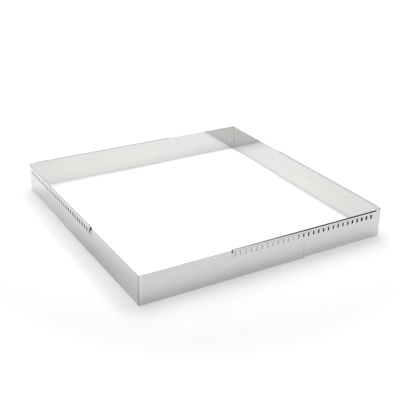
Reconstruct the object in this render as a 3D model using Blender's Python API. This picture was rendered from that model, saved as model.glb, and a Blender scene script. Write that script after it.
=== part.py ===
"""An adjustable cake frame: four L-shaped strips of stainless sheet that slide along each other.

Two corner pieces are plain strips. The other two carry a folded hem along each arm, and the
plain arms run inside those hems, so that the frame's width and depth can both be set.
The frame stands on the plane z = 0 with its centre over the origin. Lengths are in metres.
"""

import math

import bmesh
import bpy

# The frame as it is set, measured over the plain strips' outer faces
FRAME_WIDTH = 0.456
FRAME_DEPTH = 0.470

# The sheet and its corner bend
SHEET = 0.001
BEND_RADIUS = 0.003

# The plain strips
PLAIN_HEIGHT = 0.050
PLAIN_ARM = 0.295
NOSE_LENGTH = 0.021
NOSE_SHOULDER = 0.008
NOSE_DROP = 0.0075
NOSE_FALL = 0.0020

# The hemmed strips
HEMMED_ARM = 0.299
HEM_SETBACK = 0.014
FOOT_RISE = 0.0007

# How far the bead stands out past the hem's outer leg, and the angle that it sweeps in degrees
BEAD_BULGE = 0.0008
BEAD_SWEEP = 200

# The room that a plain strip has inside a hem, at its faces and at its top corners
SIDE_CLEARANCE = 0.0003
TOP_CLEARANCE = 0.0002

# The slots in the hem's outer leg, and the metal around their row: above it up to the bead's
# neck, below it, from the hem's start to the first slot's middle, and past the last slot
SLOT_PITCH = 0.010
SLOT_WIDTH = 0.003
SLOT_HEIGHT = 0.0066
SLOT_CORNER = 0.0008
LARGEST_CORNER_SHARE = 0.45
METAL_ABOVE = 0.0007
METAL_BELOW = 0.0049
METAL_BEFORE = 0.011
METAL_PAST = 0.0024

# How far a cutter reaches past what it cuts
OVERRUN = 0.0004

# Counts of facets
BEND_STEPS = 6
BEAD_STEPS = 20
CORNER_STEPS = 2

# Places worked out from the sizes above, in a corner piece's own frame: its corner is at the
# origin, one arm runs along +X and the other along +Y, and out is towards -Y and -X
WALL_INSET = SHEET + SIDE_CLEARANCE
WALL_FACE = WALL_INSET + SHEET
LEG_BACK = -SIDE_CLEARANCE
LEG_FACE = LEG_BACK - SHEET
BEAD_RADIUS = (WALL_FACE - LEG_FACE + BEAD_BULGE) / 2


def bead_centre():
    """Returns how far the bead's centre lies in from the plain strips' outer faces, and its height.

    The bead's inner side is flush with the wall's inner face, and its hollow is as low as the
    top corners of the strip that runs in it allow.
    """
    inset = WALL_FACE - BEAD_RADIUS
    reach = BEAD_RADIUS - SHEET - TOP_CLEARANCE
    farthest = max(abs(inset), abs(inset - SHEET))
    return inset, PLAIN_HEIGHT - math.sqrt(max(reach**2 - farthest**2, 0))


def neck_height(radius, face):
    """The height where an arc of the bead, running on straight from its end, meets the leg."""
    end = math.radians(BEAD_SWEEP)
    end_inset = BEAD_INSET + radius * math.cos(end)
    end_height = BEAD_HEIGHT + radius * math.sin(end)
    return end_height - (face - end_inset) / math.tan(end)


BEAD_INSET, BEAD_HEIGHT = bead_centre()
HEM_TOP = BEAD_HEIGHT + BEAD_RADIUS
NECK_HEIGHT = neck_height(BEAD_RADIUS, LEG_FACE)
SLOT_TOP = NECK_HEIGHT - METAL_ABOVE
SLOT_BOTTOM = SLOT_TOP - SLOT_HEIGHT
LEG_FOOT = SLOT_BOTTOM - METAL_BELOW


def clear_scene():
    for old in list(bpy.data.objects):
        bpy.data.objects.remove(old, do_unlink=True)


def mesh_from(points, faces, name):
    """Makes a mesh with its faces pointing out."""
    mesh = bpy.data.meshes.new(name)
    mesh.from_pydata(points, [], faces)
    work = bmesh.new()
    work.from_mesh(mesh)
    bmesh.ops.recalc_face_normals(work, faces=work.faces)
    work.to_mesh(mesh)
    work.free()
    return mesh


def prism(outline, start, end, place):
    """Makes the points and faces of an outline carried from one distance to another.

    place turns a distance and a point of the outline into a point in space.
    """
    count = len(outline)
    points = [place(distance, spot) for distance in (start, end) for spot in outline]
    faces = [list(range(count)), list(range(count, 2 * count))]
    for here in range(count):
        after = (here + 1) % count
        faces.append([here, after, count + after, count + here])
    return points, faces


def arc(centre, radius, start, end, steps):
    """Lists points along an arc, from the angle start to the angle end in degrees."""
    angles = [math.radians(start + (end - start) * step / steps) for step in range(steps + 1)]
    return [(centre[0] + radius * math.cos(a), centre[1] + radius * math.sin(a)) for a in angles]


def bent_strip(inset, arm_stations, name):
    """Makes an L-shaped strip of sheet whose outer faces lie inset inside the corner's two sides.

    arm_stations lists, from the bend outwards, the distance from the corner, the bottom edge's
    height and the top edge's height. The bend has the height of the first station.
    """
    centre = (inset + BEND_RADIUS, inset + BEND_RADIUS)
    outer_bend = arc(centre, BEND_RADIUS, 180, 270, BEND_STEPS)
    inner_bend = arc(centre, BEND_RADIUS - SHEET, 180, 270, BEND_STEPS)
    inner_face = inset + SHEET
    columns = []
    for distance, bottom, top in reversed(arm_stations):
        columns.append(((inset, distance), (inner_face, distance), bottom, top))
    for outer, inner in zip(outer_bend, inner_bend):
        columns.append((outer, inner, *arm_stations[0][1:]))
    for distance, bottom, top in arm_stations:
        columns.append(((distance, inset), (distance, inner_face), bottom, top))
    points = []
    for outer, inner, bottom, top in columns:
        points += [(*outer, bottom), (*inner, bottom), (*inner, top), (*outer, top)]
    faces = [[0, 1, 2, 3]]
    for column in range(len(columns) - 1):
        base = 4 * column
        for side in range(4):
            after = (side + 1) % 4
            faces.append([base + side, base + after, base + 4 + after, base + 4 + side])
    last = 4 * (len(columns) - 1)
    faces.append([last, last + 1, last + 2, last + 3])
    return mesh_from(points, faces, name)


def plain_mesh():
    """A plain strip. The top of each arm falls away at its end, so that it starts into a hem."""
    shoulder_end = PLAIN_ARM - NOSE_LENGTH + NOSE_SHOULDER
    stations = [
        (PLAIN_ARM - NOSE_LENGTH, 0, PLAIN_HEIGHT),
        (shoulder_end, 0, PLAIN_HEIGHT - NOSE_DROP),
        (PLAIN_ARM, 0, PLAIN_HEIGHT - NOSE_DROP - NOSE_FALL),
    ]
    return bent_strip(0, stations, "plain_strip")


def hem_outline():
    """The hem's section: the wall, a rounded hollow bead over its top, and the slotted outer leg.

    Each point is a distance in from the plain strips' outer faces, and a height.
    """
    centre = (BEAD_INSET, BEAD_HEIGHT)
    hollow = BEAD_RADIUS - SHEET
    outer = arc(centre, BEAD_RADIUS, 0, BEAD_SWEEP, BEAD_STEPS)
    inner = arc(centre, hollow, BEAD_SWEEP, 0, BEAD_STEPS)
    wall_foot = [(WALL_INSET, FOOT_RISE), (WALL_FACE, FOOT_RISE)]
    leg = [(LEG_FACE, NECK_HEIGHT), (LEG_FACE, LEG_FOOT)]
    leg += [(LEG_BACK, LEG_FOOT), (LEG_BACK, neck_height(hollow, LEG_BACK))]
    return wall_foot + outer + leg + inner


def slot_outline(middle):
    """A slot with small round corners: distances along the arm from the corner, and heights."""
    radius = min(SLOT_CORNER, LARGEST_CORNER_SHARE * min(SLOT_WIDTH, SLOT_HEIGHT))
    left = middle - SLOT_WIDTH / 2 + radius
    right = middle + SLOT_WIDTH / 2 - radius
    low = SLOT_BOTTOM + radius
    high = SLOT_TOP - radius
    corners = [((right, high), 0), ((left, high), 90), ((left, low), 180), ((right, low), 270)]
    outline = []
    for centre, start in corners:
        outline += arc(centre, radius, start, start + 90, CORNER_STEPS)
    return outline


def slot_middles():
    """The slots' places along an arm: as many as fit at their pitch before the arm's end."""
    first = HEM_SETBACK + METAL_BEFORE
    last = HEMMED_ARM - METAL_PAST - SLOT_WIDTH / 2
    count = math.floor((last - first) / SLOT_PITCH) + 1
    return [first + SLOT_PITCH * index for index in range(count)]


def along_x(distance, spot):
    return (distance, spot[0], spot[1])


def along_y(distance, spot):
    return (spot[0], distance, spot[1])


def out_of_x_arm(depth, spot):
    return (spot[0], depth, spot[1])


def out_of_y_arm(depth, spot):
    return (depth, spot[0], spot[1])


def helper(mesh, name):
    """Adds an object that only lends its shape to another."""
    tool = bpy.data.objects.new(name, mesh)
    bpy.context.scene.collection.objects.link(tool)
    tool.hide_render = True
    tool.display_type = "WIRE"
    return tool


def hem(place, name):
    points, faces = prism(hem_outline(), HEM_SETBACK, HEMMED_ARM, place)
    return helper(mesh_from(points, faces, name), name)


def slot_row(place, name):
    """All the slots of one arm, as one cutter through the hem's outer leg."""
    points = []
    faces = []
    for middle in slot_middles():
        outline = slot_outline(middle)
        more_points, more_faces = prism(outline, LEG_FACE - OVERRUN, LEG_BACK + OVERRUN, place)
        faces += [[len(points) + index for index in face] for face in more_faces]
        points += more_points
    return helper(mesh_from(points, faces, name), name)


def combine(piece, other, operation):
    change = piece.modifiers.new(other.name, "BOOLEAN")
    change.operation = operation
    change.solver = "EXACT"
    change.object = other


def hemmed_mesh():
    """A hemmed strip: a bare corner with a slotted hem along each arm."""
    corner = bent_strip(WALL_INSET, [(HEM_SETBACK, FOOT_RISE, HEM_TOP)], "hemmed_corner")
    strip = helper(corner, "hemmed_strip")
    for hem_place, slot_place, arm in ((along_x, out_of_x_arm, "x"), (along_y, out_of_y_arm, "y")):
        combine(strip, hem(hem_place, "hem_" + arm), "UNION")
        combine(strip, slot_row(slot_place, "slots_" + arm), "DIFFERENCE")
    graph = bpy.context.evaluated_depsgraph_get()
    return bpy.data.meshes.new_from_object(strip.evaluated_get(graph))


def steel(name, colour, roughness):
    material = bpy.data.materials.new(name)
    material.use_nodes = True
    surface = material.node_tree.nodes["Principled BSDF"]
    surface.inputs["Base Color"].default_value = (*colour, 1)
    surface.inputs["Roughness"].default_value = roughness
    surface.inputs["Metallic"].default_value = 1
    return material


def corner_piece(name, mesh, material, side_share, quarter_turns):
    """Places a corner piece at one of the frame's four corners, with its arms along two sides."""
    own_mesh = mesh.copy()
    own_mesh.name = name
    own_mesh.materials.clear()
    own_mesh.materials.append(material)
    own_mesh.shade_smooth()
    own_mesh.set_sharp_from_angle(angle=math.radians(25))
    piece = bpy.data.objects.new(name, own_mesh)
    bpy.context.scene.collection.objects.link(piece)
    piece.location = (side_share[0] * FRAME_WIDTH, side_share[1] * FRAME_DEPTH, 0)
    piece.rotation_euler = (0, 0, quarter_turns * math.pi / 2)
    return piece


def build():
    clear_scene()
    plain = plain_mesh()
    hemmed = hemmed_mesh()
    near_steel = steel("near_corner_steel", (0.62, 0.62, 0.62), 0.32)
    right_steel = steel("right_corner_steel", (0.63, 0.63, 0.61), 0.30)
    far_steel = steel("far_corner_steel", (0.61, 0.61, 0.62), 0.32)
    left_steel = steel("left_corner_steel", (0.63, 0.63, 0.61), 0.30)
    corner_piece("near_corner", plain, near_steel, (-0.5, -0.5), 0)
    corner_piece("right_corner", hemmed, right_steel, (0.5, -0.5), 1)
    corner_piece("far_corner", plain, far_steel, (0.5, 0.5), 2)
    corner_piece("left_corner", hemmed, left_steel, (-0.5, 0.5), 3)


build()
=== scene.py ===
import math

import bpy
import numpy as np
from mathutils import Matrix, Vector


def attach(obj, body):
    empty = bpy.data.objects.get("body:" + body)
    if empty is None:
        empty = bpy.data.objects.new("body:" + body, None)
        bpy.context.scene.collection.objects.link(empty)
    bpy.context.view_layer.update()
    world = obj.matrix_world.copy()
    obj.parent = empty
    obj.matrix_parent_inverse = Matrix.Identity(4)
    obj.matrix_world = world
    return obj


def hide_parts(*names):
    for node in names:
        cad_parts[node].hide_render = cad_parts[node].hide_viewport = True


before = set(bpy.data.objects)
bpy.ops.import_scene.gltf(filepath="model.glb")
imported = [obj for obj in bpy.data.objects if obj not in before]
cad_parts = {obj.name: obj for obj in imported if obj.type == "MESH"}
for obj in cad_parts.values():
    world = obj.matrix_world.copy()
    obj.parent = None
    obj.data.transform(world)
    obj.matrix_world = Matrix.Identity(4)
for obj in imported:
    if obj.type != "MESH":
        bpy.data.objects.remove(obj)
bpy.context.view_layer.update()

MM = 0.001

# The frame as it is set, over the plain strips' outer faces
FRAME_WIDTH = 456 * MM
FRAME_DEPTH = 470 * MM

# The sheet and its corner bend, measured to the bend's outer face
SHEET = 1 * MM
BEND_RADIUS = 3 * MM
MIDDLE_RADIUS = BEND_RADIUS - SHEET / 2
BEND_LENGTH = MIDDLE_RADIUS * math.pi / 2

# The plain strips
PLAIN_HEIGHT = 50 * MM
PLAIN_ARM = 295 * MM
NOSE_STATIONS = [0, 274 * MM, 282 * MM, PLAIN_ARM]
NOSE_TOPS = [PLAIN_HEIGHT, PLAIN_HEIGHT, 42.5 * MM, 40.5 * MM]
NOSE_BLEND = 3 * MM

# The hemmed strips
HEMMED_INSET = 1.3 * MM
HEMMED_ARM = 299 * MM
FOOT_RISE = 0.7 * MM
BEAD_HEIGHT = 49.564 * MM
BEAD_MIDDLE_RADIUS = 1.7 * MM
BEAD_SWEEP = math.radians(200)
NECK_RADIUS = 2 * MM
LEG_OFFSET = 2.48 * MM
LEG_LEAN = math.radians(0.4)
LEG_FOOT = 34.78 * MM
TAB_END = 13.7 * MM
TAB_TOP = 51.764 * MM
HEM_START = 14.3 * MM
RELIEF_FOOT = BEAD_HEIGHT - 0.6 * MM

# The slots in the hem's leg. Their top has to stay below the leg's own top.
SLOT_PITCH = 10 * MM
SLOT_MIDDLES = 25 * MM + SLOT_PITCH * np.arange(28)
SLOT_HALF_WIDTH = 1.5 * MM
SLOT_BOTTOM = 39.68 * MM
SLOT_TOP = 46.28 * MM
SLOT_CORNER = 0.8 * MM

# The rounding of sheared edges, and of the blank's outer corners
EDGE_ROUNDING = 0.13 * MM
ARM_CORNER = 2.5 * MM
LEG_CORNER = 1.5 * MM
TAB_CORNER = 1 * MM

# Where the blanks have points: round half the bend, along the plain arm's even part and its nose,
# along the tab, as shares of the plain strip's height, along each side of the cell round a slot,
# and as shares of the way out from a slot's rim to its cell
BEND_COLUMNS = np.linspace(0, BEND_LENGTH / 2, 9)[:-1]
EVEN_COLUMNS = np.linspace(3, 270, 28) * MM
NOSE_COLUMNS = np.linspace(272, 291, 20) * MM
TAB_COLUMNS = np.array([4.3, 7, 10]) * MM
HEIGHT_SHARES = np.array([0, 0.05, 0.2, 0.4, 0.6, 0.8, 0.95, 1])
SEGMENTS = 6
RING_SHARES = np.array([1, 0.4, 0])[:, None, None]


def quads(first, rows, columns):
    """Numbers the faces of a grid of rows x columns points that starts at the point first."""
    corner = first + np.arange(rows - 1)[:, None] * columns + np.arange(columns - 1)
    return np.stack([corner, corner + 1, corner + columns + 1, corner + columns], -1).reshape(-1, 4)


def grid_patch(along, across):
    """A patch of the blank: every pair of a place along the strip and a place across it."""
    flat = np.stack(np.broadcast_arrays(along[None, :], across[:, None]), -1)
    return flat.reshape(-1, 2), quads(0, len(across), len(along))


def slot_patches(left, right, low, high, middle):
    """The metal round each slot, as rings.

    Ring point (k, t) lies a share t of the way from point k of the slot's rounded outline to
    point k of the rectangle round it. Both outlines have as many points a side and run
    anticlockwise. left, right and middle hold one value for each slot.
    """
    slot_middle = (SLOT_TOP_ACROSS + SLOT_BOTTOM_ACROSS) / 2
    half = np.array([SLOT_HALF_WIDTH, (SLOT_BOTTOM_ACROSS - SLOT_TOP_ACROSS) / 2])
    side = np.arange(4)[:, None]
    centre_turn = np.radians(225 + 90 * side)
    signs = np.round(np.sqrt(2) * np.stack([np.cos(centre_turn), np.sin(centre_turn)], -1))
    arc_turn = np.radians(225 + 90 * side + np.array([0, 22.5, 45]))
    arcs = signs * (half - SLOT_CORNER) + SLOT_CORNER * np.stack([np.cos(arc_turn), np.sin(arc_turn)], -1)
    next_turn = np.radians(225 + 90 * side + np.array([45, 67.5]))
    next_arcs = np.roll(signs, -1, 0) * (half - SLOT_CORNER)
    next_arcs = next_arcs + SLOT_CORNER * np.stack([np.cos(next_turn), np.sin(next_turn)], -1)
    side_middles = (arcs[:, 2:] + next_arcs[:, :1]) / 2
    slot = np.concatenate([arcs, side_middles, next_arcs], 1).reshape(-1, 2)
    share = np.arange(SEGMENTS) / SEGMENTS
    zero, one = np.zeros(SEGMENTS), np.ones(SEGMENTS)
    box_u = np.concatenate([share, one, 1 - share, zero])
    box_v = np.concatenate([zero, share, one, 1 - share])
    rim_u = middle[:, None] + slot[:, 0]
    rim_v = np.broadcast_to(slot_middle + slot[:, 1], rim_u.shape)
    cell_u = left[:, None] + (right - left)[:, None] * box_u
    cell_v = np.broadcast_to(low + (high - low) * box_v, rim_u.shape)
    rim, cell = np.stack([rim_u, rim_v], -1), np.stack([cell_u, cell_v], -1)
    rings = cell[:, None] * RING_SHARES + rim[:, None] * (1 - RING_SHARES)
    around = rings.shape[2]
    k = np.arange(around)
    ring = np.arange(2)[:, None] * around
    after = (k + 1) % around
    faces = np.stack([ring + k, ring + after, ring + around + after, ring + around + k], -1).reshape(-1, 4)
    slots = np.arange(len(middle))[:, None, None] * 3 * around
    return rings.reshape(-1, 2), (faces + slots).reshape(-1, 4)


def weld(patches):
    """Joins patches of the blank at the points that they share."""
    counts = np.cumsum([0] + [len(points) for points, faces in patches])
    points = np.concatenate([points for points, faces in patches])
    faces = np.concatenate([patch[1] + first for patch, first in zip(patches, counts)])
    rounded = np.round(points, 7)
    first, number = np.unique(rounded, axis=0, return_index=True, return_inverse=True)[1:]
    return points[first], number.reshape(-1)[faces]


def corner_lift(distance, radius):
    """How far a round corner pulls its edge back at a distance from the sheet's end."""
    return radius - np.sqrt(radius**2 - (radius - np.clip(distance, 0, radius)) ** 2)


def station(distance, inset):
    """The place along the strip's middle line, from the bend's middle, of a distance from the corner."""
    return distance - inset - BEND_RADIUS + BEND_LENGTH / 2


def both_arms(columns):
    """Columns of both arms and the bend, from those of one arm, counted from the bend's middle."""
    return np.concatenate([-columns[:0:-1], columns])


def section_tables():
    """The hem's section, folded from flat sheet.

    The sheet's heading is upright along the wall, turns evenly by 200 degrees round the bead,
    keeps that heading down the neck, and turns back past upright for the leg, which leans in
    towards the arm behind it. The section is the running sum of the heading's sine (outwards)
    and cosine (upwards).
    """
    back_turn = BEAD_SWEEP - math.pi
    bead = BEAD_MIDDLE_RADIUS * BEAD_SWEEP
    reach = BEAD_MIDDLE_RADIUS * (1 - math.cos(BEAD_SWEEP)) - LEG_OFFSET
    neck = (reach - NECK_RADIUS * (1 - math.cos(back_turn))) / math.sin(back_turn)
    bend_back = NECK_RADIUS * back_turn
    knots = BEAD_HEIGHT + np.cumsum([0, bead, neck, bend_back])
    across = np.arange(BEAD_HEIGHT, knots[-1] + 20 * MM, 0.005 * MM)
    heading = np.interp(across, knots, [0, BEAD_SWEEP, BEAD_SWEEP, math.pi + LEG_LEAN])
    middle = (heading[1:] + heading[:-1]) / 2
    step = np.diff(across)
    outward = np.concatenate([[0], np.cumsum(np.sin(middle) * step)])
    upward = BEAD_HEIGHT + np.concatenate([[0], np.cumsum(np.cos(middle) * step)])
    return knots, across, outward, upward


SECTION_KNOTS, SECTION_ACROSS, SECTION_OUTWARD, SECTION_UPWARD = section_tables()
LEG_TOP_ACROSS = SECTION_KNOTS[-1]
LEG_TOP = np.interp(LEG_TOP_ACROSS, SECTION_ACROSS, SECTION_UPWARD)
SLOT_TOP_ACROSS = LEG_TOP_ACROSS + LEG_TOP - SLOT_TOP
SLOT_BOTTOM_ACROSS = LEG_TOP_ACROSS + LEG_TOP - SLOT_BOTTOM
LEG_FOOT_ACROSS = LEG_TOP_ACROSS + LEG_TOP - LEG_FOOT
RELIEF_PLACE = station((TAB_END + HEM_START) / 2, HEMMED_INSET)


def carried_along(along, outward, height, inset):
    """Carries a section along the L-shaped middle line of a strip.

    The line runs down the arm along Y, round a quarter circle, and out along the arm along X.
    A point is the bend's centre, plus the radius and its own outward distance along the
    outward direction, plus what is left of its place along the line in the line's direction.
    """
    half_bend = BEND_LENGTH / 2
    in_bend = np.clip(along, -half_bend, half_bend)
    turn = math.radians(225) + in_bend / MIDDLE_RADIUS
    reach = MIDDLE_RADIUS + outward
    x = inset + BEND_RADIUS + reach * np.cos(turn) - (along - in_bend) * np.sin(turn)
    y = inset + BEND_RADIUS + reach * np.sin(turn) + (along - in_bend) * np.cos(turn)
    return np.stack([x, y, height], -1)


def placed(points, corner, quarter_turns):
    """Turns a strip by quarter turns about its corner and moves the corner to its place."""
    turn = np.array([[1, 0], [0, 1], [-1, 0], [0, -1]])[quarter_turns]
    x = points[:, 0] * turn[0] - points[:, 1] * turn[1]
    y = points[:, 0] * turn[1] + points[:, 1] * turn[0]
    return np.stack([x + corner[0], y + corner[1], points[:, 2]], -1)


def plain_blank():
    """The plain strip's blank, as (along, height).

    Height is bottom + share x (top - bottom). The top follows the nose's straight lines, averaged
    over the nose's blend, and both corners of an arm's end are rounded.
    """
    rounding = PLAIN_ARM - ARM_CORNER * (1 - np.sin(np.linspace(0, math.pi / 2, 8)))
    arm = np.concatenate([EVEN_COLUMNS, NOSE_COLUMNS, rounding])
    columns = both_arms(np.concatenate([BEND_COLUMNS, station(arm, 0)]))
    points, faces = grid_patch(columns, HEIGHT_SHARES)
    distance = np.abs(points[:, 0]) - station(0, 0)
    window = np.linspace(-NOSE_BLEND / 2, NOSE_BLEND / 2, 13)[:, None]
    top = np.interp(distance + window, NOSE_STATIONS, NOSE_TOPS).mean(0)
    lift = corner_lift(PLAIN_ARM - distance, ARM_CORNER)
    points[:, 1] = lift + points[:, 1] * (top - 2 * lift)
    return points, faces


def hemmed_blank():
    """The hemmed strip's blank, as (along, across): a wall with a bare tab over the corner, and on
    each arm the sheet of the bead, neck and leg, with its row of slots. A narrow relief cut parts
    the tab from the hems.

    An outer corner is rounded by moving its points in from the edge, by the corner's lift times
    a share that grows from 0 away from the edge to 1 at it.
    """
    quarter = np.sin(np.linspace(0, math.pi / 2, 6))
    tab_arm = np.concatenate([TAB_COLUMNS, TAB_END - TAB_CORNER * (1 - quarter)])
    hem_start = HEM_START + LEG_CORNER * (1 - quarter[::-1])
    cell_edges = np.append(SLOT_MIDDLES - SLOT_PITCH / 2, HEMMED_ARM - LEG_CORNER)
    start_strip = np.concatenate([hem_start, [cell_edges[0] - SLOT_PITCH / 4, cell_edges[0]]])
    share = np.arange(SEGMENTS) / SEGMENTS
    cells = (cell_edges[:-1, None] + np.diff(cell_edges)[:, None] * share).reshape(-1)
    end_strip = HEMMED_ARM - LEG_CORNER * (1 - quarter)
    tab_columns = np.concatenate([BEND_COLUMNS, station(tab_arm, HEMMED_INSET)])
    hem_columns = station(np.concatenate([start_strip[:-1], cells, end_strip]), HEMMED_INSET)
    low_rows = np.linspace(FOOT_RISE, RELIEF_FOOT, 7)
    high_rows = np.array([RELIEF_FOOT, BEAD_HEIGHT])
    tab_rows = np.linspace(BEAD_HEIGHT, TAB_TOP, 4)
    bead_rows = np.linspace(BEAD_HEIGHT, SECTION_KNOTS[1], 21)
    neck_rows = np.linspace(SECTION_KNOTS[2], LEG_TOP_ACROSS, 4)
    leg_rows = LEG_TOP_ACROSS + (LEG_FOOT_ACROSS - LEG_TOP_ACROSS) * np.arange(SEGMENTS + 1) / SEGMENTS
    patches = [grid_patch(both_arms(np.concatenate([tab_columns, hem_columns])), low_rows)]
    patches.append(grid_patch(both_arms(tab_columns), np.concatenate([high_rows, tab_rows[1:]])))
    leg_ends = [station(start_strip, HEMMED_INSET), station(end_strip, HEMMED_INSET)]
    left, right = station(cell_edges[:-1], HEMMED_INSET), station(cell_edges[1:], HEMMED_INSET)
    middles = station(SLOT_MIDDLES, HEMMED_INSET)
    for side in (1, -1):
        columns = hem_columns[::side] * side
        patches.append(grid_patch(columns, np.concatenate([high_rows, bead_rows[1:], neck_rows])))
        for leg_end in leg_ends:
            patches.append(grid_patch(leg_end[::side] * side, leg_rows))
        sides = (left, right) if side > 0 else (-right, -left)
        patches.append(slot_patches(*sides, LEG_TOP_ACROSS, LEG_FOOT_ACROSS, middles * side))
    points, faces = weld(patches)
    along, across = np.abs(points[:, 0]), points[:, 1]
    end = station(HEMMED_ARM, HEMMED_INSET)
    wall_share = np.clip((RELIEF_FOOT - across) / (RELIEF_FOOT - FOOT_RISE), 0, 1)
    wall_lift = wall_share * corner_lift(end - along, LEG_CORNER)
    foot_share = np.clip((across - SLOT_BOTTOM_ACROSS) / (LEG_FOOT_ACROSS - SLOT_BOTTOM_ACROSS), 0, 1)
    to_end = np.minimum(end - along, along - station(HEM_START, HEMMED_INSET))
    foot_lift = foot_share * corner_lift(to_end, LEG_CORNER)
    tab_share = np.clip((across - BEAD_HEIGHT) / (TAB_TOP - BEAD_HEIGHT), 0, 1)
    tab_lift = tab_share * corner_lift(station(TAB_END, HEMMED_INSET) - along, TAB_CORNER)
    tab_lift = np.where(along < RELIEF_PLACE, tab_lift, 0)
    points[:, 1] = across + wall_lift - foot_lift - tab_lift
    return points, faces


def plain_shape(blank):
    """The plain strip stands up straight: it has no outward part, and height is the blank's own."""
    return carried_along(blank[:, 0], np.zeros(len(blank)), blank[:, 1], 0)


def hemmed_shape(blank):
    """Folds the blank's upper part over, except the bare tab at the corner."""
    in_hem = np.abs(blank[:, 0]) > RELIEF_PLACE
    folded = in_hem & (blank[:, 1] > BEAD_HEIGHT)
    outward = np.where(folded, np.interp(blank[:, 1], SECTION_ACROSS, SECTION_OUTWARD), 0)
    height = np.where(folded, np.interp(blank[:, 1], SECTION_ACROSS, SECTION_UPWARD), blank[:, 1])
    return carried_along(blank[:, 0], outward, height, HEMMED_INSET)


def strip(name, blank, faces, shape, corner, quarter_turns, materials):
    """Makes one strip: its middle surface and flat-blank map, then the sheet's thickness and its
    rounded sheared edges."""
    points = placed(shape(blank), corner, quarter_turns)
    mesh = bpy.data.meshes.new(name)
    mesh.from_pydata(points.tolist(), [], faces.tolist())
    layer = mesh.uv_layers.new(name="blank")
    layer.data.foreach_set("uv", blank[faces.reshape(-1)].astype(np.float32).reshape(-1))
    mesh.shade_smooth()
    for material in materials:
        mesh.materials.append(material)
    piece = bpy.data.objects.new(name, mesh)
    bpy.context.scene.collection.objects.link(piece)
    thickness = piece.modifiers.new("sheet", "SOLIDIFY")
    thickness.thickness = SHEET
    thickness.offset = 0
    thickness.use_even_offset = True
    thickness.use_quality_normals = True
    thickness.material_offset_rim = 1
    rounding = piece.modifiers.new("edges", "BEVEL")
    rounding.width = EDGE_ROUNDING
    rounding.segments = 2
    rounding.limit_method = "ANGLE"
    rounding.angle_limit = math.radians(50)
    rounding.harden_normals = True
    rounding.material = 2
    return piece


def new_group(name, inputs, outputs):
    """Starts a shader node group with named value or vector sockets."""
    group = bpy.data.node_groups.new(name, "ShaderNodeTree")
    for label, kind, value in inputs:
        socket = group.interface.new_socket(label, in_out="INPUT", socket_type="NodeSocket" + kind)
        if value is not None:
            socket.default_value = value
    for label, kind in outputs:
        group.interface.new_socket(label, in_out="OUTPUT", socket_type="NodeSocket" + kind)
    return group, group.nodes.new("NodeGroupInput"), group.nodes.new("NodeGroupOutput")


def maths(tree, operation, first, second=None, third=None):
    """Adds a Math node and returns its result. Each operand is a socket or a number."""
    node = tree.nodes.new("ShaderNodeMath")
    node.operation = operation
    for index, operand in enumerate((first, second, third)):
        if isinstance(operand, (int, float)):
            node.inputs[index].default_value = operand
        elif operand is not None:
            tree.links.new(operand, node.inputs[index])
    return node.outputs[0]


def separated(tree, vector):
    """The three parts of a vector."""
    node = tree.nodes.new("ShaderNodeSeparateXYZ")
    tree.links.new(vector, node.inputs[0])
    return node.outputs


def noise(tree, vector, detail, roughness=0.5):
    """Soft noise from 0 to 1, with one lump for each unit of the vector."""
    node = tree.nodes.new("ShaderNodeTexNoise")
    node.inputs["Scale"].default_value = 1
    node.inputs["Detail"].default_value = detail
    node.inputs["Roughness"].default_value = roughness
    tree.links.new(vector, node.inputs["Vector"])
    return node.outputs["Fac"]


def divided(tree, vector, length, height, shift):
    """The flat-blank map in units of a length along the strip and a height across it."""
    parts = separated(tree, vector)
    joined = tree.nodes.new("ShaderNodeCombineXYZ")
    tree.links.new(maths(tree, "DIVIDE", parts[0], length), joined.inputs[0])
    tree.links.new(maths(tree, "DIVIDE", parts[1], height), joined.inputs[1])
    tree.links.new(shift, joined.inputs[2])
    return joined.outputs[0]


def between(tree, value, low, high):
    """0 below low, 1 above high, and a smooth rise between."""
    node = tree.nodes.new("ShaderNodeMapRange")
    node.interpolation_type = "SMOOTHSTEP"
    tree.links.new(value, node.inputs["Value"])
    for socket, limit in (("From Min", low), ("From Max", high)):
        if isinstance(limit, (int, float)):
            node.inputs[socket].default_value = limit
        else:
            tree.links.new(limit, node.inputs[socket])
    return node.outputs["Result"]


def rolling_grain():
    """Fine lines along the strip from the rolling mill, as a height from 0 to 1."""
    inputs = [("Blank", "Vector", None), ("Line Length", "Float", 20 * MM)]
    inputs += [("Line Height", "Float", 0.3 * MM), ("Seed", "Float", 0.0)]
    group, start, end = new_group("rolling_grain", inputs, [("Height", "Float")])
    blank, length, height, seed = start.outputs[:4]
    group.links.new(noise(group, divided(group, blank, length, height, seed), 3), end.inputs["Height"])
    return group


def handling_marks():
    """Soft smudges where the strip was held or wiped, as a mask from 0 to 1."""
    inputs = [("Blank", "Vector", None), ("Size", "Float", 30 * MM)]
    inputs += [("Seed", "Float", 0.0), ("Cover", "Float", 0.5)]
    group, start, end = new_group("handling_marks", inputs, [("Mask", "Float")])
    blank, size, seed, cover = start.outputs[:4]
    low = maths(group, "SUBTRACT", 0.75, maths(group, "MULTIPLY", cover, 0.4))
    lumps = noise(group, divided(group, blank, size, size, seed), 4, 0.6)
    mask = between(group, lumps, low, maths(group, "ADD", low, 0.18))
    group.links.new(mask, end.inputs["Mask"])
    return group


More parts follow.
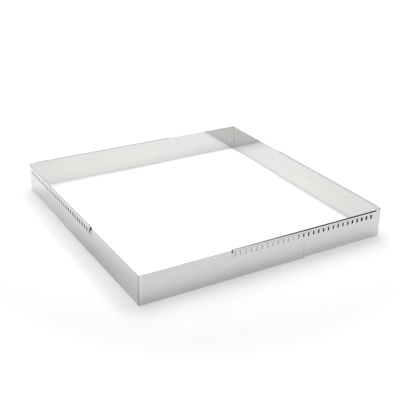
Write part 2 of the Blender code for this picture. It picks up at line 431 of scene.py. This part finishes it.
def sliding_scuffs():
    """Long hairline scratches along the arms, inside a band of heights, as a mask from 0 to 1."""
    inputs = [("Blank", "Vector", None), ("Band Bottom", "Float", 0.0), ("Band Top", "Float", 50 * MM)]
    inputs += [("Seed", "Float", 0.0), ("Cover", "Float", 0.5)]
    group, start, end = new_group("sliding_scuffs", inputs, [("Mask", "Float")])
    blank, bottom, top, seed, cover = start.outputs[:5]
    hairs = noise(group, divided(group, blank, SCUFF_LENGTH, SCUFF_WIDTH, seed), 2)
    low = maths(group, "SUBTRACT", 0.8, maths(group, "MULTIPLY", cover, 0.3))
    lines = between(group, hairs, low, maths(group, "ADD", low, 0.06))
    height = separated(group, blank)[1]
    above = between(group, height, bottom, maths(group, "ADD", bottom, SCUFF_FADE))
    below = between(group, height, maths(group, "SUBTRACT", top, SCUFF_FADE), top)
    inside = maths(group, "MULTIPLY", above, maths(group, "SUBTRACT", 1, below))
    group.links.new(maths(group, "MULTIPLY", lines, inside), end.inputs["Mask"])
    return group


def bend_band():
    """A soft band across the strip at a place along it, as a mask from 0 to 1. It places painted light and
    shade at the corner bend: a dark line along the outer crease, a sheen beside it and shade in the inner
    bend.
    """
    inputs = [("Blank", "Vector", None), ("Place", "Float", 0.0), ("Half Width", "Float", 0.5 * MM)]
    group, start, end = new_group("bend_band", inputs, [("Mask", "Float")])
    blank, place, half = start.outputs[:3]
    away = maths(group, "ABSOLUTE", maths(group, "SUBTRACT", separated(group, blank)[0], place))
    outside = between(group, away, maths(group, "MULTIPLY", half, 0.4), half)
    group.links.new(maths(group, "SUBTRACT", 1, outside), end.inputs["Mask"])
    return group


def arm_end_band():
    """The sheet beside an arm's end, as a mask from 0 to 1. It places painted shade along the arm's end.
    """
    inputs = [("Blank", "Vector", None), ("Arm End", "Float", 0.3), ("Width", "Float", 1 * MM)]
    group, start, end = new_group("arm_end_band", inputs, [("Mask", "Float")])
    blank, arm_end, width = start.outputs[:3]
    along = maths(group, "ABSOLUTE", separated(group, blank)[0])
    low = maths(group, "SUBTRACT", arm_end, width)
    high = maths(group, "ADD", low, maths(group, "MULTIPLY", width, 0.4))
    group.links.new(between(group, along, low, high), end.inputs["Mask"])
    return group


def outer_face():
    """1 on the faces that look away from the frame's middle, and 0 on those that look towards it."""
    inputs = [("Place", "Vector", None), ("Facing", "Vector", None)]
    group, start, end = new_group("outer_face", inputs, [("Mask", "Float")])
    both = group.nodes.new("ShaderNodeVectorMath")
    both.operation = "DOT_PRODUCT"
    group.links.new(start.outputs["Place"], both.inputs[0])
    group.links.new(start.outputs["Facing"], both.inputs[1])
    group.links.new(maths(group, "GREATER_THAN", both.outputs["Value"], 0), end.inputs["Mask"])
    return group


def slot_shade_ring():
    """Painted shade round the punched slots, as a mask from 0 to 1.

    The distance outside a slot is the length of (along, across), less the radius of the slot's
    corner. Each part is the distance from the nearest slot's middle, less half the slot's size
    without its rounded corners, and not below zero. Half a pitch before the first slot, the
    painted shade stops.
    """
    inputs = [("Blank", "Vector", None), ("First Slot", "Float", 20 * MM), ("Row", "Float", 60 * MM)]
    inputs += [("Reach", "Float", 0.5 * MM), ("Start", "Float", 0.1), ("Full", "Float", 0.2)]
    group, start, end = new_group("slot_shade_ring", inputs, [("Mask", "Float")])
    blank, first_slot, row, reach, begins, full = start.outputs[:6]
    parts = separated(group, blank)
    along = maths(group, "ABSOLUTE", parts[0])
    past = maths(group, "SUBTRACT", along, first_slot)
    beside = maths(group, "ABSOLUTE", maths(group, "WRAP", past, SLOT_PITCH / 2, -SLOT_PITCH / 2))
    above = maths(group, "ABSOLUTE", maths(group, "SUBTRACT", parts[1], row))
    beside = maths(group, "SUBTRACT", beside, SLOT_HALF_WIDTH - SLOT_CORNER)
    above = maths(group, "SUBTRACT", above, (SLOT_TOP - SLOT_BOTTOM) / 2 - SLOT_CORNER)
    beside = maths(group, "MAXIMUM", beside, 0)
    above = maths(group, "MAXIMUM", above, 0)
    squares = maths(group, "MULTIPLY_ADD", beside, beside, maths(group, "MULTIPLY", above, above))
    outside = maths(group, "SUBTRACT", maths(group, "SQRT", squares), SLOT_CORNER)
    clear = between(group, outside, maths(group, "MULTIPLY", reach, 0.5), reach)
    growing = between(group, along, begins, full)
    growing = maths(group, "MULTIPLY", growing, maths(group, "GREATER_THAN", past, -SLOT_PITCH / 2))
    mask = maths(group, "MULTIPLY", maths(group, "SUBTRACT", 1, clear), growing)
    group.links.new(mask, end.inputs["Mask"])
    return group


def edge_zone():
    """A stretch of cut edge: inside a band across the strip, and growing from one place along the arm
    to another, as a mask from 0 to 1."""
    inputs = [("Blank", "Vector", None), ("Band Bottom", "Float", 0.0), ("Band Top", "Float", 50 * MM)]
    inputs += [("Start", "Float", 0.1), ("Full", "Float", 0.2)]
    group, start, end = new_group("edge_zone", inputs, [("Mask", "Float")])
    blank, bottom, top, begins, full = start.outputs[:5]
    parts = separated(group, blank)
    above = maths(group, "GREATER_THAN", parts[1], bottom)
    below = maths(group, "LESS_THAN", parts[1], top)
    growing = between(group, maths(group, "ABSOLUTE", parts[0]), begins, full)
    mask = maths(group, "MULTIPLY", maths(group, "MULTIPLY", above, below), growing)
    group.links.new(mask, end.inputs["Mask"])
    return group


def floor_pool():
    """A soft oval on the floor, as a mask that falls from 1 at its middle to 0 at its rim."""
    inputs = [("Place", "Vector", None), ("Middle", "Vector", None), ("Reach", "Vector", None)]
    group, start, end = new_group("floor_pool", inputs, [("Mask", "Float")])
    away = start.outputs["Place"]
    for operation, operand in (("SUBTRACT", "Middle"), ("DIVIDE", "Reach")):
        node = group.nodes.new("ShaderNodeVectorMath")
        node.operation = operation
        group.links.new(away, node.inputs[0])
        group.links.new(start.outputs[operand], node.inputs[1])
        away = node.outputs["Vector"]
    length = group.nodes.new("ShaderNodeVectorMath")
    length.operation = "LENGTH"
    group.links.new(away, length.inputs[0])
    group.links.new(between(group, length.outputs["Value"], 1, 0), end.inputs["Mask"])
    return group


def place_group(tree, group, **values):
    """Puts a group in a material, sets its numbers, joins its Blank input to the blank's map, and
    returns its result."""
    node = tree.nodes.new("ShaderNodeGroup")
    node.node_tree = group
    blank = tree.nodes.new("ShaderNodeUVMap")
    blank.uv_map = "blank"
    tree.links.new(blank.outputs["UV"], node.inputs["Blank"])
    for label, value in values.items():
        node.inputs[label.replace("_", " ")].default_value = value
    return node.outputs[0]


def on_outer_faces(tree):
    """Puts the group for a strip's outer faces in a material and returns its mask."""
    node = tree.nodes.new("ShaderNodeGroup")
    node.node_tree = OUTER_FACE
    place = tree.nodes.new("ShaderNodeTexCoord")
    tree.links.new(place.outputs["Object"], node.inputs["Place"])
    tree.links.new(place.outputs["Normal"], node.inputs["Facing"])
    return node.outputs["Mask"]


def scaled(colour, factor):
    """A colour made lighter or darker."""
    return tuple(part * factor for part in colour)


def mixed_colour(tree, mask, first, second):
    """Goes from one colour to another as the mask goes from 0 to 1. first may be a socket."""
    node = tree.nodes.new("ShaderNodeMix")
    node.data_type = "RGBA"
    tree.links.new(mask, node.inputs["Factor"])
    for label, colour in (("A", first), ("B", second)):
        socket = next(s for s in node.inputs if s.name == label and s.type == "RGBA")
        if isinstance(colour, tuple):
            socket.default_value = (*colour, 1)
        else:
            tree.links.new(colour, socket)
    return next(s for s in node.outputs if s.type == "RGBA")


def layered(tree, colour, layers):
    """Lays colours over a first one, in order. A layer is a mask, the mask's share and a colour."""
    for mask, share, tint in layers:
        colour = mixed_colour(tree, maths(tree, "MULTIPLY", mask, share), colour, tint)
    return colour


def bare_metal(name):
    """Starts a metal material, and returns it with its node tree and its shader."""
    material = bpy.data.materials.new(name)
    material.use_nodes = True
    shader = material.node_tree.nodes["Principled BSDF"]
    shader.inputs["Metallic"].default_value = 1
    return material, material.node_tree, shader


def bumped(tree, shader, height, distance):
    """Lets a height push the surface out, by a distance for each unit."""
    bump = tree.nodes.new("ShaderNodeBump")
    bump.inputs["Strength"].default_value = 1
    bump.inputs["Distance"].default_value = distance
    tree.links.new(height, bump.inputs["Height"])
    tree.links.new(bump.outputs["Normal"], shader.inputs["Normal"])


def rolled_steel(name, tone, seed, scuffed, arm_end, end_shade, slot_shade=None):
    """Bright rolled stainless sheet: grain along the strip, faint smudges, hairline scuffs where the
    strips rub, painted shade in the inner bend, a painted sheen on the outer bend, a painted shade line
    along the outer bend's crease and painted shade beside the arms' ends. The argument for the slots says
    where along the arm the painted shade round the slots starts, and where it is full."""
    material, tree, shader = bare_metal(name)
    grain = place_group(tree, GRAIN, Line_Length=30 * MM, Line_Height=0.4 * MM, Seed=seed)
    streaks = place_group(tree, GRAIN, Line_Length=120 * MM, Line_Height=3.5 * MM, Seed=seed + 3)
    wave = place_group(tree, GRAIN, Line_Length=90 * MM, Line_Height=30 * MM, Seed=seed + 7)
    smudge = place_group(tree, MARKS, Size=28 * MM, Seed=seed + 11, Cover=0.45)
    band = {"Band_Bottom": scuffed[0], "Band_Top": scuffed[1]}
    scuff = place_group(tree, SCUFFS, Seed=seed + 17, Cover=0.5, **band)
    # Bands at the corner bend for painted light and shade: a dark line along the outer crease, a painted
    # sheen beside it on the outer faces, and painted shade in the inner bend
    crease_shade = place_group(tree, BEND_BAND, Place=-0.9 * MM, Half_Width=1.4 * MM)
    bend_sheen = place_group(tree, BEND_BAND, Place=3 * MM, Half_Width=3.3 * MM)
    bend = place_group(tree, BEND_BAND, Place=0, Half_Width=4 * MM)
    # Painted shade beside each arm's end
    end = place_group(tree, ARM_END_BAND, Arm_End=arm_end, Width=1.3 * MM)
    outer = on_outer_faces(tree)
    inner_bend_shade = maths(tree, "MULTIPLY", bend, maths(tree, "SUBTRACT", 1, outer))
    outer_crease_shade = maths(tree, "MULTIPLY", crease_shade, outer)
    outer_bend_sheen = maths(tree, "MULTIPLY", bend_sheen, outer)
    layers = [(smudge, 0.35, SMUDGED), (inner_bend_shade, 1, INNER_BEND_SHADE), (outer_bend_sheen, 1, BEND_SHEEN)]
    layers += [(end, end_shade, ARM_END_SHADE), (outer_crease_shade, 0.55, CREASE_SHADE)]
    # Painted shade round the slots on the outer faces
    if slot_shade:
        row = (SLOT_TOP_ACROSS + SLOT_BOTTOM_ACROSS) / 2
        first = station(SLOT_MIDDLES[0], HEMMED_INSET)
        ring_shade = place_group(tree, SLOT_RING, First_Slot=first, Row=row, Reach=SLOT_RING_REACH, **slot_shade)
        layers.append((maths(tree, "MULTIPLY", ring_shade, outer), 0.9, SLOT_RING_SHADE))
    colour = mixed_colour(tree, streaks, scaled(tone, 0.97), scaled(tone, 1.03))
    tree.links.new(layered(tree, colour, layers), shader.inputs["Base Color"])
    rough = maths(tree, "MULTIPLY_ADD", grain, 0.06, 0.07)
    rough = maths(tree, "MULTIPLY_ADD", smudge, 0.04, rough)
    rough = maths(tree, "MULTIPLY_ADD", scuff, 0.1, rough)
    rough = maths(tree, "MULTIPLY_ADD", outer_crease_shade, 0.2, rough)
    tree.links.new(rough, shader.inputs["Roughness"])
    height = maths(tree, "MULTIPLY_ADD", wave, 30, grain)
    height = maths(tree, "MULTIPLY_ADD", scuff, -0.8, height)
    bumped(tree, shader, height, 0.001 * MM)
    return material


def cut_steel(name, tone, roughness, line, depth, slot_shade=None, wall_shade_share=0.0):
    """Steel that a shear or a deburring wheel has cut: fine lines across the sheet's edge. At a hem's
    open end it has painted shade round the bead and a painted highlight down the leg. The argument for the
    slots says where along the arm the painted shade on the slots' walls starts, and where it is full; the
    last argument is that shade's share in all slots."""
    material, tree, shader = bare_metal(name)
    grain = place_group(tree, GRAIN, Line_Length=line, Line_Height=line, Seed=2.0)
    at_end = {"Start": HEMMED_END - LEG_CORNER - 0.2 * MM, "Full": HEMMED_END - LEG_CORNER}
    bead = {"Band_Bottom": BEAD_HEIGHT + ZONE_MARGIN, "Band_Top": NECK_END}
    leg = {"Band_Bottom": NECK_END, "Band_Top": LEG_FOOT_ACROSS + 1 * MM}
    layers = []
    # Painted shade on the slots' walls: a share of it in every slot, and full shade from a place along the
    # arm
    if slot_shade:
        row = {"Band_Bottom": SLOT_TOP_ACROSS - ZONE_MARGIN, "Band_Top": SLOT_BOTTOM_ACROSS + ZONE_MARGIN}
        all_slots = place_group(tree, EDGE_ZONE, Start=0.0, Full=1 * MM, **row)
        deep_shade = place_group(tree, EDGE_ZONE, **slot_shade, **row)
        layers = [(all_slots, wall_shade_share, SLOT_WALL_SHADE), (deep_shade, 1, DEEP_SLOT_SHADE)]
    # Painted shade round the bead's open end, and a painted highlight down the leg's end
    layers.append((place_group(tree, EDGE_ZONE, **bead, **at_end), 1, BEAD_END_SHADE))
    layers.append((place_group(tree, EDGE_ZONE, **leg, **at_end), 1, LEG_END_HIGHLIGHT))
    colour = mixed_colour(tree, grain, scaled(tone, 0.9), scaled(tone, 1.06))
    tree.links.new(layered(tree, colour, layers), shader.inputs["Base Color"])
    rough = maths(tree, "MULTIPLY_ADD", grain, 0.2, roughness)
    tree.links.new(rough, shader.inputs["Roughness"])
    bumped(tree, shader, grain, depth)
    return material


def cut_edges(prefix, slot_shade=None, wall_shade_share=0.0):
    """The finish of the cut edges and of their rounding. The wheel's lines are wider and shallower."""
    sheared = cut_steel(prefix + "sheared_edge", SHEARED, 0.15, 0.12 * MM, 0.004 * MM, slot_shade, wall_shade_share)
    deburred = cut_steel(prefix + "deburred_edge", DEBURRED, 0.13, 0.3 * MM, 0.002 * MM, slot_shade, wall_shade_share)
    return sheared, deburred


def light_path_mask(tree):
    """1 for rays from the camera, from a mirror-like surface or through a clear one, and 0 for others."""
    path = tree.nodes.new("ShaderNodeLightPath")
    seen = maths(tree, "MAXIMUM", path.outputs["Is Camera Ray"], path.outputs["Is Glossy Ray"])
    return maths(tree, "MAXIMUM", seen, path.outputs["Is Transmission Ray"])


def with_pools(tree, level, place, pools):
    """Adds each pool's share to a level of glow."""
    for name, middle, reach, share in pools:
        pool = tree.nodes.new("ShaderNodeGroup")
        pool.label = name
        pool.node_tree = POOL
        tree.links.new(place, pool.inputs["Place"])
        pool.inputs["Middle"].default_value = (*middle, 0)
        pool.inputs["Reach"].default_value = (*reach, 1)
        level = maths(tree, "MULTIPLY_ADD", pool.outputs["Mask"], share, level)
    return level


def paper_floor():
    """White sweep paper. It takes the frame's shadow, and the part away from the frame is seen white.
    Close to the frame its glow has pools of painted light and shade, and the metal sees other pools in it
    than the camera."""
    material = bpy.data.materials.new("sweep_paper")
    material.use_nodes = True
    tree = material.node_tree
    tree.nodes.remove(tree.nodes["Principled BSDF"])
    place = tree.nodes.new("ShaderNodeTexCoord").outputs["Object"]
    length = tree.nodes.new("ShaderNodeVectorMath")
    length.operation = "LENGTH"
    tree.links.new(place, length.inputs[0])
    away = between(tree, length.outputs["Value"], *GLOW_RISES)
    even = maths(tree, "MULTIPLY_ADD", away, GLOW_RISE, FLOOR_GLOW)
    for_metal = with_pools(tree, even, place, METAL_POOLS)
    for_camera = with_pools(tree, even, place, CAMERA_POOLS)
    path = tree.nodes.new("ShaderNodeLightPath")
    direct = maths(tree, "MAXIMUM", path.outputs["Is Camera Ray"], path.outputs["Is Transmission Ray"])
    metal = maths(tree, "MULTIPLY", for_metal, path.outputs["Is Glossy Ray"])
    strength = maths(tree, "MULTIPLY_ADD", for_camera, direct, metal)
    glow = tree.nodes.new("ShaderNodeEmission")
    tree.links.new(strength, glow.inputs["Strength"])
    paper = tree.nodes.new("ShaderNodeBsdfDiffuse")
    paper.inputs["Color"].default_value = (*PAPER, 1)
    both = tree.nodes.new("ShaderNodeAddShader")
    tree.links.new(paper.outputs[0], both.inputs[0])
    tree.links.new(glow.outputs[0], both.inputs[1])
    tree.links.new(both.outputs[0], tree.nodes["Material Output"].inputs["Surface"])
    return material


def studio_world():
    """The room: an even soft light, seen white by the camera. In the metal it is white too, except
    for the unlit side of the room to the frame's right, behind the light from the front."""
    world = bpy.data.worlds.new("studio")
    world.use_nodes = True
    bpy.context.scene.world = world
    tree = world.node_tree
    direction = separated(tree, tree.nodes.new("ShaderNodeTexCoord").outputs["Generated"])
    right = between(tree, direction[0], *DARK_RIGHT)
    behind = between(tree, direction[1], *DARK_BEHIND)
    seen = maths(tree, "SUBTRACT", 1, maths(tree, "MULTIPLY", right, behind))
    path = tree.nodes.new("ShaderNodeLightPath")
    seen = maths(tree, "MAXIMUM", seen, path.outputs["Is Camera Ray"])
    visible = light_path_mask(tree)
    hidden = maths(tree, "MULTIPLY", maths(tree, "SUBTRACT", 1, visible), ROOM_LEVEL)
    strength = maths(tree, "MULTIPLY_ADD", seen, visible, hidden)
    tree.links.new(strength, tree.nodes["Background"].inputs["Strength"])
    tree.nodes["Background"].inputs["Color"].default_value = (1, 1, 1, 1)


def overhead_lights():
    """Soft panels level over the frame, a little to its far side. The metal doesn't show them."""
    for name, size, place, brightness in PANELS:
        light = bpy.data.lights.new(name, "AREA")
        light.shape = "RECTANGLE"
        light.size, light.size_y = size
        light.energy = brightness * math.pi * size[0] * size[1]
        lamp = bpy.data.objects.new(name, light)
        lamp.location = place
        lamp.visible_camera = False
        lamp.visible_glossy = False
        bpy.context.scene.collection.objects.link(lamp)


def floor_sheet():
    """The floor: one large level square."""
    mesh = bpy.data.meshes.new("sweep")
    half = FLOOR_SIZE / 2
    corners = [(-half, -half, 0), (half, -half, 0), (half, half, 0), (-half, half, 0)]
    mesh.from_pydata(corners, [], [(0, 1, 2, 3)])
    mesh.materials.append(paper_floor())
    floor = bpy.data.objects.new("sweep", mesh)
    bpy.context.scene.collection.objects.link(floor)


def photo_camera():
    """The camera: a long lens in front and to the left of the frame, looking down on it.

    It looks along its heading, down by its fall, and is then rolled about the line of sight.
    """
    data = bpy.data.cameras.new("photo_camera")
    data.sensor_width = SENSOR_WIDTH
    data.lens = CAMERA_LENS
    camera = bpy.data.objects.new("photo_camera", data)
    level = Vector((math.sin(CAMERA_HEADING), -math.cos(CAMERA_HEADING), 0))
    ahead = Vector((math.cos(CAMERA_HEADING), math.sin(CAMERA_HEADING), 0))
    forward = ahead * math.cos(CAMERA_FALL) - Vector((0, 0, math.sin(CAMERA_FALL)))
    right = level * math.cos(CAMERA_ROLL) + level.cross(forward) * math.sin(CAMERA_ROLL)
    turn = Matrix((right, right.cross(forward), -forward)).transposed().to_4x4()
    camera.matrix_world = Matrix.Translation(CAMERA_PLACE) @ turn
    bpy.context.scene.collection.objects.link(camera)
    bpy.context.scene.camera = camera


# The camera that was fitted to the photo: its place, its sensor and lens in millimetres, and its
# angles
CAMERA_PLACE = (-639.71 * MM, -1103.41 * MM, 618.74 * MM)
SENSOR_WIDTH = 36
CAMERA_LENS = 67.791
CAMERA_HEADING = math.radians(58.8710)
CAMERA_FALL = math.radians(25.6449)
CAMERA_ROLL = math.radians(1.1517)

# The overhead panels: each one's name, width and depth, place and level, in metres
PANELS = [
    ("wide_panel", (0.9, 1.2), (0, 0.45, 0.85), 1.99),
    ("narrow_panel", (0.3, 0.9), (0.3, 0, 0.86), 2.35),
]

# The room's level, and where its dark side starts and ends, as parts of a direction
ROOM_LEVEL = 0.427
DARK_RIGHT = (0.44, 0.57)
DARK_BEHIND = (-0.8, -0.5)

# The floor: its size in metres and its colour, its own glow close to the frame, how much that
# rises, and between which distances from the frame's middle
FLOOR_SIZE = 18
PAPER = (0.8, 0.8, 0.795)
FLOOR_GLOW = 0.28
GLOW_RISE = 1.1
GLOW_RISES = (0.38, 0.75)

# Pools of painted light and shade in the floor's glow: each one's name, middle, reach along x and y,
# and share. A share below zero is painted shade, and a share above zero is painted light. A foot is the
# stretch of floor beside one side of the frame.
LEFT = -FRAME_WIDTH / 2
RIGHT = FRAME_WIDTH / 2
NEAR = -FRAME_DEPTH / 2
FAR = FRAME_DEPTH / 2
# Painted shade and light on the floor as the metal sees it
METAL_POOLS = [
    ("left_foot", (LEFT, -50 * MM), (35 * MM, 200 * MM), -0.14),
    ("before_left_foot", (LEFT - 32 * MM, -200 * MM), (80 * MM, 200 * MM), -0.08),
    ("near_foot", (-100 * MM, NEAR), (300 * MM, 40 * MM), -0.055),
    ("far_corner", (RIGHT, FAR), (120 * MM, 120 * MM), -0.035),
    ("far_foot", (-110 * MM, FAR), (320 * MM, 60 * MM), 0.11),
    ("right_foot", (RIGHT, 0), (60 * MM, 200 * MM), 0.07),
]
# Painted light that lifts the frame's shadow on the floor, as the camera sees it
CAMERA_POOLS = [
    ("before_near_corner", (LEFT + 28 * MM, NEAR - 35 * MM), (80 * MM, 80 * MM), 0.035),
    ("beside_left_corner", (LEFT - 72 * MM, FAR - 35 * MM), (100 * MM, 120 * MM), 0.04),
    ("beside_right_corner", (RIGHT + 42 * MM, NEAR - 35 * MM), (100 * MM, 100 * MM), 0.055),
]
POOL = floor_pool()

photo_camera()
overhead_lights()
studio_world()
floor_sheet()
bpy.context.scene.view_settings.view_transform = "Standard"

# The steel's colours: rolled, cut and smudged, then painted light and shade at the bends, the arms' ends,
# the hems' open ends and the slots
PLAIN_TONE = (0.65, 0.65, 0.643)
HEMMED_TONE = (0.65, 0.65, 0.638)
SHEARED = (0.6, 0.6, 0.59)
DEBURRED = (0.64, 0.64, 0.63)
SMUDGED = (0.58, 0.57, 0.545)
# Painted shade in the inner bend, and a painted sheen on the outer bend
INNER_BEND_SHADE = (0.53, 0.53, 0.525)
BEND_SHEEN = (0.69, 0.69, 0.68)
# Painted shade beside the arms' ends, and a painted shade line along the outer bend's crease
ARM_END_SHADE = (0.52, 0.52, 0.515)
CREASE_SHADE = (0.24, 0.24, 0.24)
# Painted shade round the bead's open end, and a painted highlight down the leg's end
BEAD_END_SHADE = (0.16, 0.16, 0.155)
LEG_END_HIGHLIGHT = (0.93, 0.93, 0.92)
# Painted shade round the slots and on their walls
SLOT_RING_SHADE = (0.03, 0.03, 0.03)
SLOT_WALL_SHADE = (0.05, 0.05, 0.05)
DEEP_SLOT_SHADE = (0.01, 0.01, 0.01)

# Where the finish changes. The scuffed bands are heights above the foot: the part of the plain arms
# that the legs cover, and the hemmed strips' walls below it. The painted shade round the slots grows from
# its start to its full strength along both arms.
SCUFF_LENGTH = 35 * MM
SCUFF_WIDTH = 0.16 * MM
SCUFF_FADE = 2 * MM
PLAIN_SCUFFED = (34 * MM, 49.5 * MM)
HEMMED_SCUFFED = (2 * MM, 34 * MM)
PLAIN_END = station(PLAIN_ARM, 0)
HEMMED_END = station(HEMMED_ARM, HEMMED_INSET)
NECK_END = LEG_TOP_ACROSS + 1.5 * MM
ZONE_MARGIN = 0.3 * MM
SLOT_RING_REACH = 0.6 * MM
LEFT_SLOT_SHADE = {"Start": station(172 * MM, HEMMED_INSET), "Full": station(198 * MM, HEMMED_INSET)}
RIGHT_SLOT_SHADE = {"Start": station(90 * MM, HEMMED_INSET), "Full": station(40 * MM, HEMMED_INSET)}

GRAIN = rolling_grain()
MARKS = handling_marks()
SCUFFS = sliding_scuffs()
BEND_BAND = bend_band()
ARM_END_BAND = arm_end_band()
OUTER_FACE = outer_face()
SLOT_RING = slot_shade_ring()
EDGE_ZONE = edge_zone()

# Each strip's finish: its rolled faces, its cut edges and their rounding
HEMMED_SIDES = (HEMMED_TONE, 5.0, HEMMED_SCUFFED, HEMMED_END, 0.2)
plain_sides = rolled_steel("plain_rolled_steel", PLAIN_TONE, 1.0, PLAIN_SCUFFED, PLAIN_END, 1.0)
left_sides = rolled_steel("left_rolled_steel", *HEMMED_SIDES, LEFT_SLOT_SHADE)
right_sides = rolled_steel("right_rolled_steel", *HEMMED_SIDES, RIGHT_SLOT_SHADE)
PLAIN_FINISH = (plain_sides, *cut_edges(""))
LEFT_FINISH = (left_sides, *cut_edges("left_", LEFT_SLOT_SHADE, 0.45))
RIGHT_FINISH = (right_sides, *cut_edges("right_", RIGHT_SLOT_SHADE))

# The strips: each one's name, CAD node, body and slot, then its form, corner, quarter turns and finish
PLAIN = (*plain_blank(), plain_shape)
HEMMED = (*hemmed_blank(), hemmed_shape)
STRIPS = [
    ("near_strip_sheet", "near_corner", "near_strip", "plain_steel",
     PLAIN, (LEFT, NEAR), 0, PLAIN_FINISH),
    ("right_strip_sheet", "right_corner", "right_strip", "hemmed_steel",
     HEMMED, (RIGHT, NEAR), 1, RIGHT_FINISH),
    ("far_strip_sheet", "far_corner", "far_strip", "plain_steel",
     PLAIN, (RIGHT, FAR), 2, PLAIN_FINISH),
    ("left_strip_sheet", "left_corner", "left_strip", "hemmed_steel",
     HEMMED, (LEFT, FAR), 3, LEFT_FINISH),
]
for name, node, body, slot, form, corner, quarter_turns, finish in STRIPS:
    piece = strip(name, *form, corner, quarter_turns, finish)
    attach(piece, body)
    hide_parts(node)
